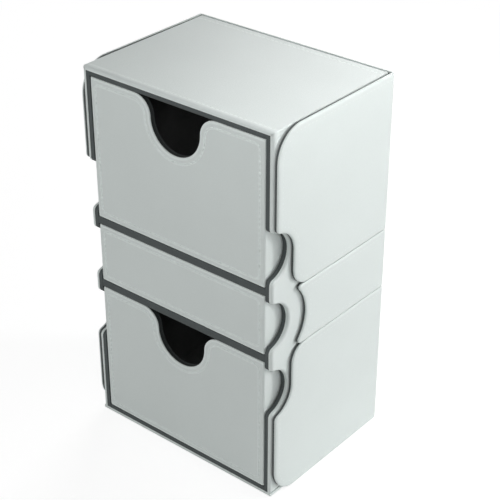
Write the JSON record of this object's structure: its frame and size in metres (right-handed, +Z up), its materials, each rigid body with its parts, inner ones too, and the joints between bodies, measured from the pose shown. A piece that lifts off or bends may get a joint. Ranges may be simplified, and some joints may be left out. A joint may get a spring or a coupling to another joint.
{
  "type": "card storage box with drawers",
  "caption": "Tower card box with upper and lower card drawers, a shallow accessory drawer between them, and pull-off side covers with wave-cut grip edges.",
  "frame": {"origin": "middle of the footprint, covers included, on the surface that the box stands on", "axes": "+Z up, +X to the right seen from the front, the drawers' fronts face -Y"},
  "size_m": [0.1106, 0.0798, 0.1834],
  "materials": {
    "core_board": "matt, dark through, cut edges bare",
    "pale_skin": "fine-grained smooth pale leatherette, satin",
    "dark_lining": "short soft dark nap",
    "magnet_metal": "plated, smooth"
  },
  "bodies": {
    "shell": {"shell_top_board": "core_board", "shell_bottom_board": "core_board", "shell_left_wall": "core_board", "shell_right_wall": "core_board", "shell_back_wall": "core_board", "upper_divider": "core_board", "lower_divider": "core_board", "shell_skin": "pale_skin", "back_skin": "pale_skin", "base_skin": "pale_skin", "shell_magnets": "magnet_metal"},
    "lower_drawer": {"lower_drawer_front_board": "core_board", "lower_drawer_left_side": "core_board", "lower_drawer_right_side": "core_board", "lower_drawer_back": "core_board", "lower_drawer_bottom": "core_board", "lower_drawer_lining": "dark_lining", "lower_drawer_skin": "pale_skin"},
    "middle_drawer": {"middle_drawer_front_board": "core_board", "middle_drawer_left_side": "core_board", "middle_drawer_right_side": "core_board", "middle_drawer_back": "core_board", "middle_drawer_bottom": "core_board", "middle_drawer_lining": "dark_lining", "middle_drawer_skin": "pale_skin"},
    "upper_drawer": {"upper_drawer_front_board": "core_board", "upper_drawer_left_side": "core_board", "upper_drawer_right_side": "core_board", "upper_drawer_back": "core_board", "upper_drawer_bottom": "core_board", "upper_drawer_lining": "dark_lining", "upper_drawer_skin": "pale_skin"},
    "lower_cover": {"lower_cover_left_board": "core_board", "lower_cover_right_board": "core_board", "lower_cover_back_board": "core_board", "lower_cover_skin": "pale_skin", "lower_cover_lining": "dark_lining", "lower_cover_magnets": "magnet_metal"},
    "middle_cover": {"middle_cover_left_board": "core_board", "middle_cover_right_board": "core_board", "middle_cover_back_board": "core_board", "middle_cover_skin": "pale_skin", "middle_cover_lining": "dark_lining", "middle_cover_magnets": "magnet_metal"},
    "upper_cover": {"upper_cover_left_board": "core_board", "upper_cover_right_board": "core_board", "upper_cover_back_board": "core_board", "upper_cover_skin": "pale_skin", "upper_cover_lining": "dark_lining", "upper_cover_magnets": "magnet_metal"}
  },
  "joints": [
    {"name": "lower_drawer_slide", "type": "slide", "parent": "shell", "child": "lower_drawer", "axis": [0, -1, 0], "range_m": [0, 0.07]},
    {"name": "middle_drawer_slide", "type": "slide", "parent": "shell", "child": "middle_drawer", "axis": [0, -1, 0], "range_m": [0, 0.07]},
    {"name": "upper_drawer_slide", "type": "slide", "parent": "shell", "child": "upper_drawer", "axis": [0, -1, 0], "range_m": [0, 0.07]},
    {"name": "lower_cover_pull_off", "type": "slide", "parent": "shell", "child": "lower_cover", "axis": [0, 1, 0], "range_m": [0, 0.085]},
    {"name": "middle_cover_pull_off", "type": "slide", "parent": "shell", "child": "middle_cover", "axis": [0, 1, 0], "range_m": [0, 0.085]},
    {"name": "upper_cover_pull_off", "type": "slide", "parent": "shell", "child": "upper_cover", "axis": [0, 1, 0], "range_m": [0, 0.085]}
  ]
}
